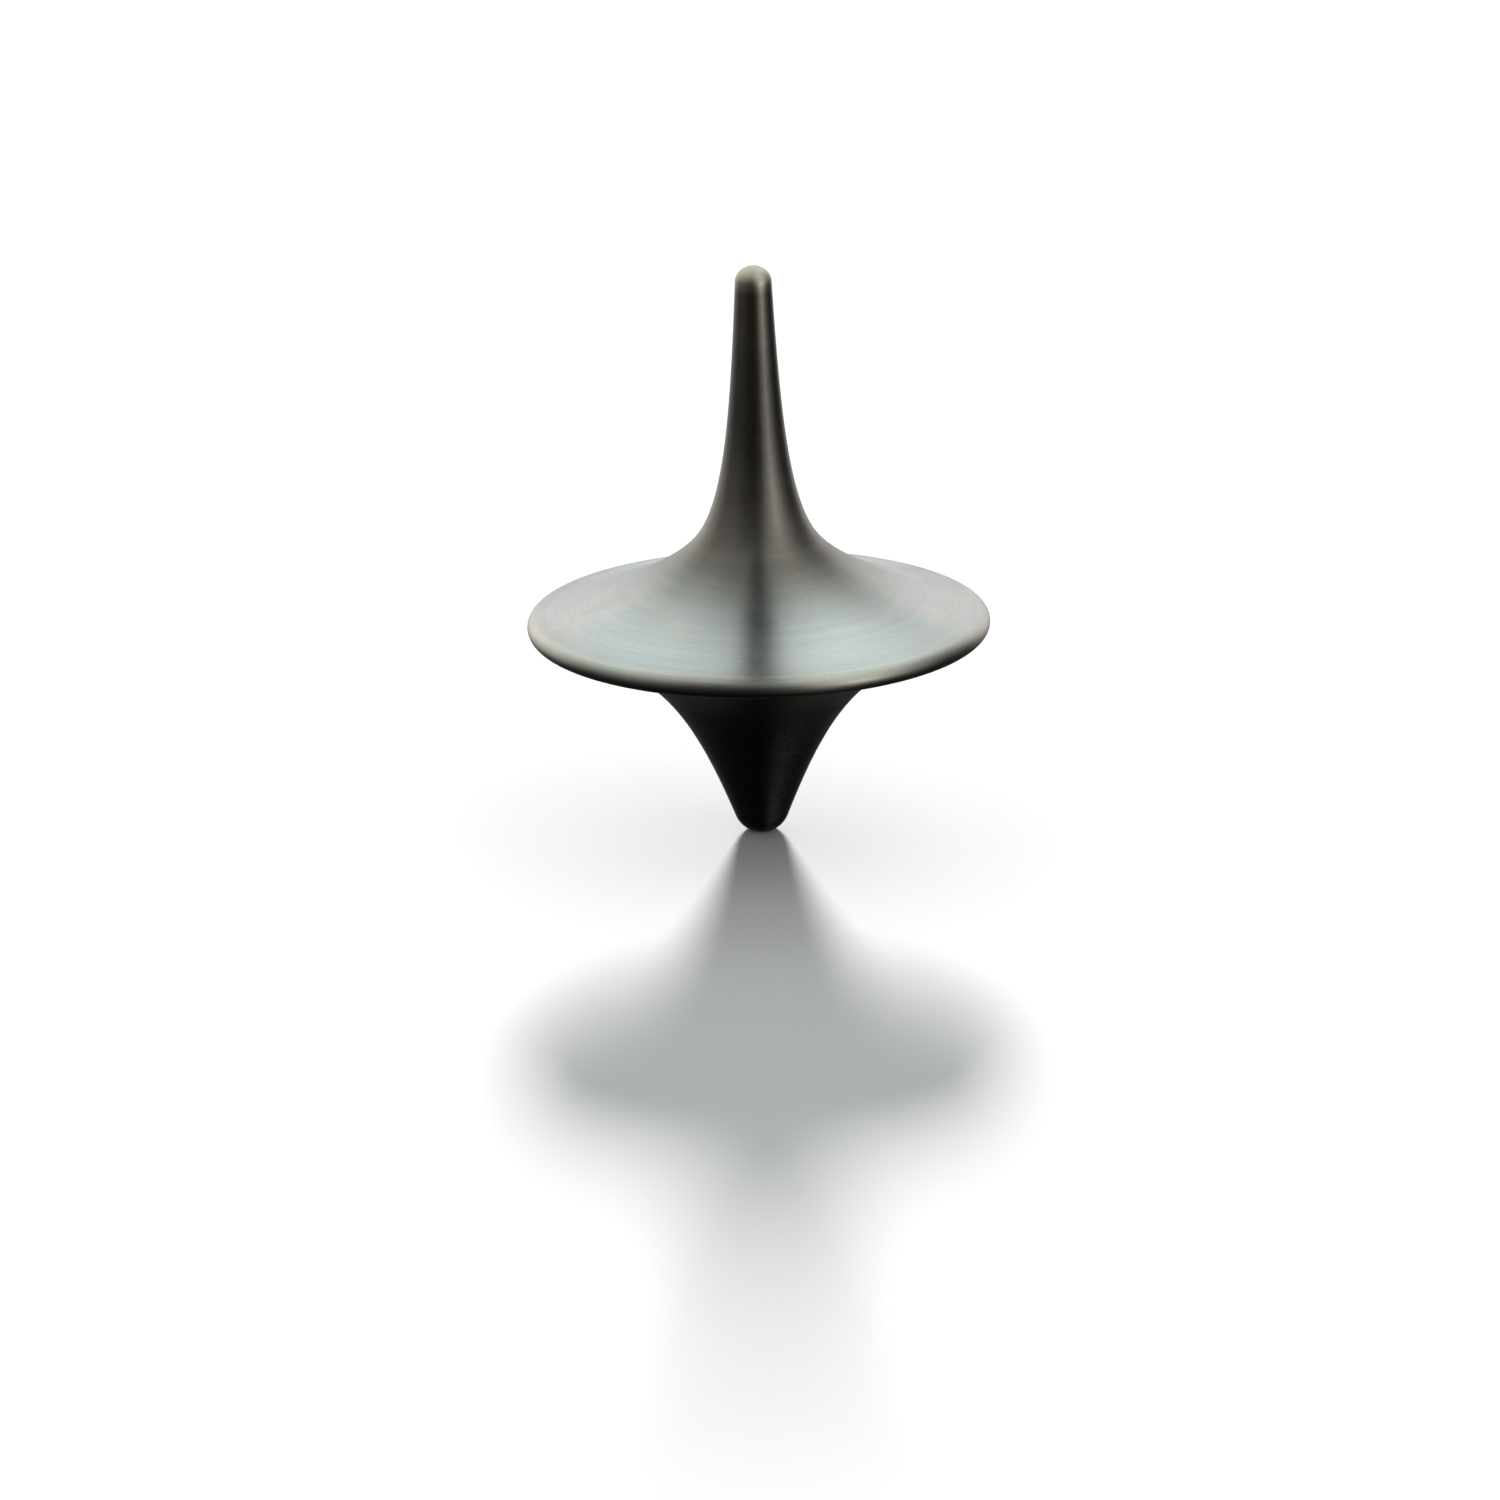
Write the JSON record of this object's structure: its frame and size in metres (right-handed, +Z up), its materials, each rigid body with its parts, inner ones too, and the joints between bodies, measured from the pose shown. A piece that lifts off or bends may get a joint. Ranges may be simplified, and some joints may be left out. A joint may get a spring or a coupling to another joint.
{
  "type": "spinning top",
  "caption": "Small turned metal spinning top: slim finger stem flaring into a thin round-edged disc, short flared cone and a rounded contact tip below.",
  "frame": {"origin": "middle of the tip's small flat, on the spin axis, where the top stands", "axes": "+Z up the spin axis from the tip to the stem's domed end; X and Y are any two directions across it"},
  "size_m": [0.03, 0.03, 0.0378],
  "materials": {
    "stem_steel": "dark satin, turned",
    "disc_steel": "bright satin, fine turning marks",
    "cone_steel": "near-black satin, turned",
    "tip_steel": "near-black, hardened and smooth"
  },
  "bodies": {
    "standing_tip": {"tip": "tip_steel"},
    "spinning_body": {"stem": "stem_steel", "flywheel": "disc_steel", "lower_cone": "cone_steel"}
  },
  "joints": [
    {"name": "spin", "type": "hinge", "parent": "standing_tip", "child": "spinning_body", "pos_m": [0, 0, 0], "axis": [0, 0, 1], "continuous": true}
  ]
}
